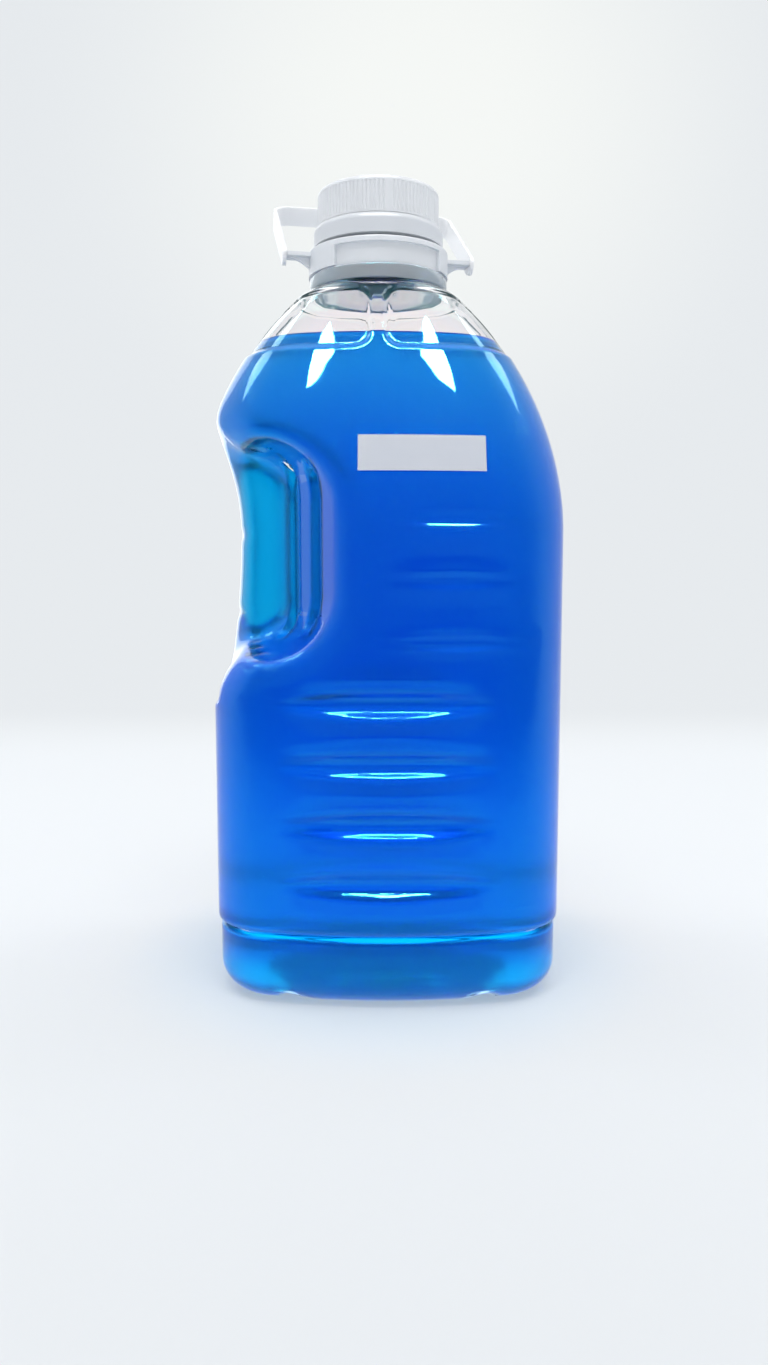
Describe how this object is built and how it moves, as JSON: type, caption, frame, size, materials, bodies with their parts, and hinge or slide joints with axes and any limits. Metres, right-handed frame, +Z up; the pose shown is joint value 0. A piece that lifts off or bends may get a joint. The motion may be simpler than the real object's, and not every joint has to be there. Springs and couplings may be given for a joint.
{
  "type": "laundry detergent bottle",
  "caption": "Clear blow-moulded bottle with a pinch grip, blue liquid, knurled screw cap and a folding carrying strap.",
  "frame": {"origin": "centre of the bottle's footprint on the surface it stands on", "axes": "+Z up along the bottle, +X to the side away from the grip, -Y to the front with the sticker"},
  "size_m": [0.146, 0.132, 0.3367],
  "materials": {
    "clear_shell": "clear glossy PET, blow moulded",
    "blue_liquid": "clear blue dyed liquid",
    "white_cap": "satin moulded white plastic with fine knurls",
    "liner_foam": "matt white foam",
    "white_band": "satin moulded white plastic",
    "white_collar": "satin moulded white plastic",
    "white_strap": "satin moulded white plastic",
    "paper": "pale matt paper sticker, bare"
  },
  "bodies": {
    "bottle_body": {"bottle": "clear_shell", "detergent": "blue_liquid", "tamper_band": "white_band", "label": "paper"},
    "liner_body": {"cap_liner": "liner_foam"},
    "cap_body": {"screw_cap": "white_cap"},
    "collar_body": {"handle_collar": "white_collar"},
    "strap_body": {"handle_strap": "white_strap"}
  },
  "joints": [
    {"name": "cap_lift", "type": "slide", "parent": "bottle_body", "child": "liner_body", "axis": [0, 0, 1], "range_m": [0, 0.0076]},
    {"name": "cap_turn", "type": "hinge", "parent": "liner_body", "child": "cap_body", "pos_m": [-0.004, 0, 0.32], "axis": [0, 0, 1], "range_deg": [0, 540]},
    {"name": "collar_turn", "type": "hinge", "parent": "bottle_body", "child": "collar_body", "pos_m": [-0.004, 0, 0.3], "axis": [0, 0, 1], "continuous": true},
    {"name": "strap_fold", "type": "hinge", "parent": "collar_body", "child": "strap_body", "pos_m": [-0.004, 0, 0.3036], "axis": [0.9816, 0.1908, 0], "range_deg": [-60, 165]}
  ],
  "couplings": [
    {"joint": "cap_lift", "follows": "cap_turn", "m_per_rad": 0.00079577}
  ]
}
